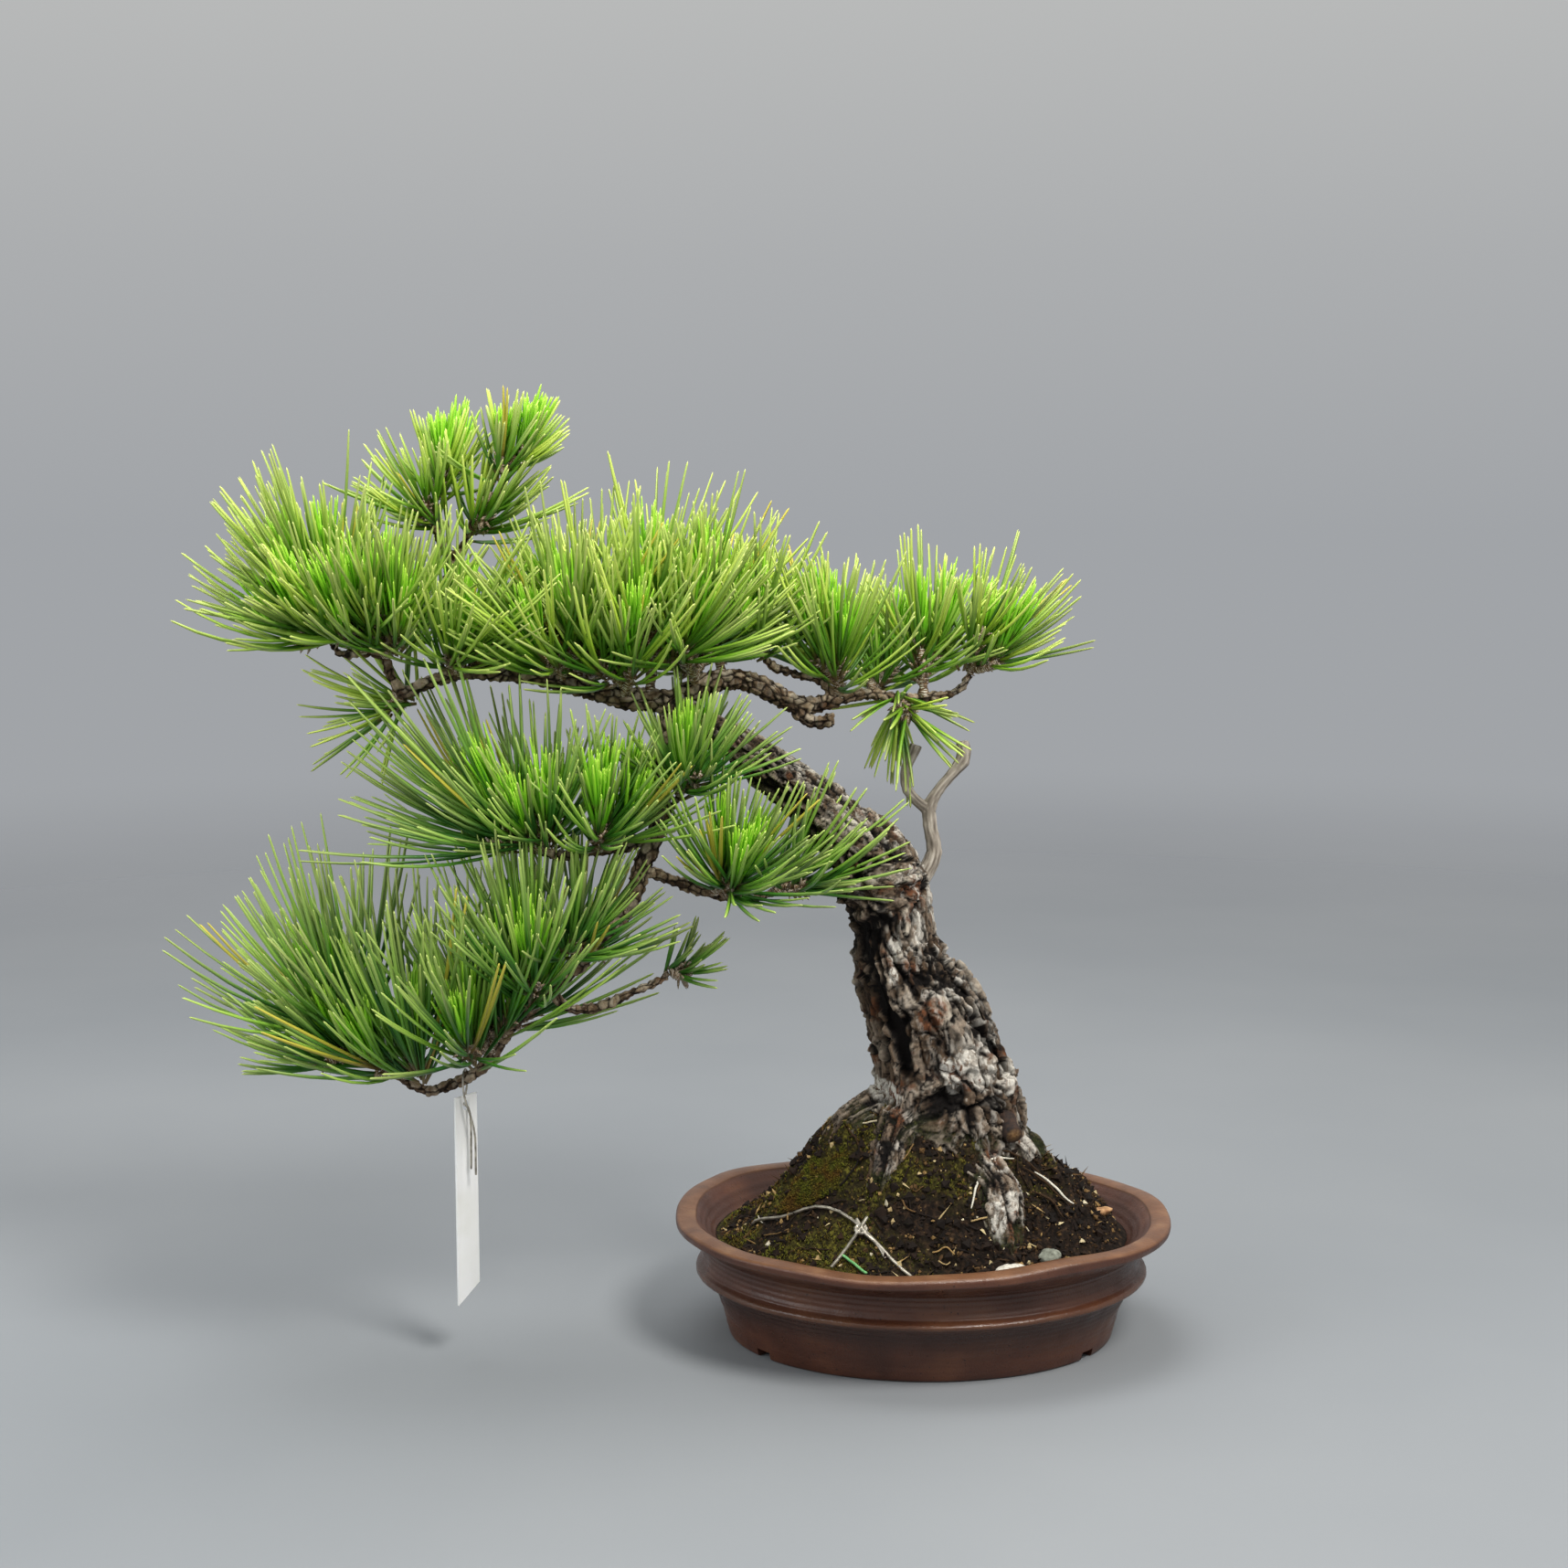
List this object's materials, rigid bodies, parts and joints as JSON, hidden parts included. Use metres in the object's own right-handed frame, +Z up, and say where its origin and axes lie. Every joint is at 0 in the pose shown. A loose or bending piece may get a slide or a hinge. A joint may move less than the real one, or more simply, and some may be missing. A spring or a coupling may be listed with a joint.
{
  "type": "bonsai tree in a pot",
  "caption": "Leaning bonsai pine with long needles in layered pads, rooted on a soil mound in a handmade brown oval pot, with a blank plant tag.",
  "frame": {"origin": "middle of the pot's flat underside", "axes": "+X along the pot, away from the side that the tree leans to; -Y the tree's front; +Z up"},
  "size_m": [0.4035, 0.1903, 0.3836],
  "materials": {
    "clay": "satin",
    "drainage_mesh": "matte",
    "soil": "matte",
    "moss": "matte",
    "white_stone": "matte",
    "grey_stone": "matte",
    "wood_chip": "matte",
    "steel_wire": "satin",
    "bark": "matte",
    "deadwood": "matte",
    "twig_bark": "matte",
    "needles": "satin",
    "label_plastic": "satin"
  },
  "bodies": {
    "root": {"anchor_wire": "steel_wire", "apex_branch": "twig_bark", "dead_branch": "deadwood", "drainage_mesh_left": "drainage_mesh", "drainage_mesh_right": "drainage_mesh", "label": "label_plastic", "label_wire": "steel_wire", "lower_branch": "twig_bark", "middle_left_branch": "twig_bark", "middle_right_branch": "twig_bark", "moss_back": "moss", "moss_left": "moss", "needles_apex_left": "needles", "needles_apex_low": "needles", "needles_apex_right": "needles", "needles_apex_top": "needles", "needles_centre_back_left": "needles", "needles_centre_back_right": "needles", "needles_centre_front": "needles", "needles_centre_front_left": "needles", "needles_centre_front_right": "needles", "needles_centre_high": "needles", "needles_centre_high_left": "needles", "needles_centre_right": "needles", "needles_lower_back": "needles", "needles_lower_front": "needles", "needles_lower_high": "needles", "needles_lower_inner": "needles", "needles_lower_left_front": "needles", "needles_lower_left_high": "needles", "needles_lower_left_tip": "needles", "needles_lower_twig_end": "needles", "needles_middle_inner": "needles", "needles_middle_left_back": "needles", "needles_middle_left_front": "needles", "needles_middle_left_inner": "needles", "needles_middle_left_tip": "needles", "needles_middle_right_front": "needles", "needles_middle_right_tip": "needles", "needles_right_back": "needles", "needles_right_candle": "needles", "needles_right_inner": "needles", "needles_right_return": "needles", "needles_right_tip": "needles", "needles_right_under": "needles", "needles_upper_left_back": "needles", "needles_upper_left_candle": "needles", "needles_upper_left_fan": "needles", "needles_upper_left_front": "needles", "needles_upper_left_inner": "needles", "needles_upper_left_tip": "needles", "needles_upper_left_under": "needles", "pot": "clay", "soil": "soil", "stone_grey": "grey_stone", "stone_white": "white_stone", "trunk": "bark", "upper_left_branch": "twig_bark", "upper_right_branch": "twig_bark", "wood_chip": "wood_chip"}
  },
  "joints": []
}
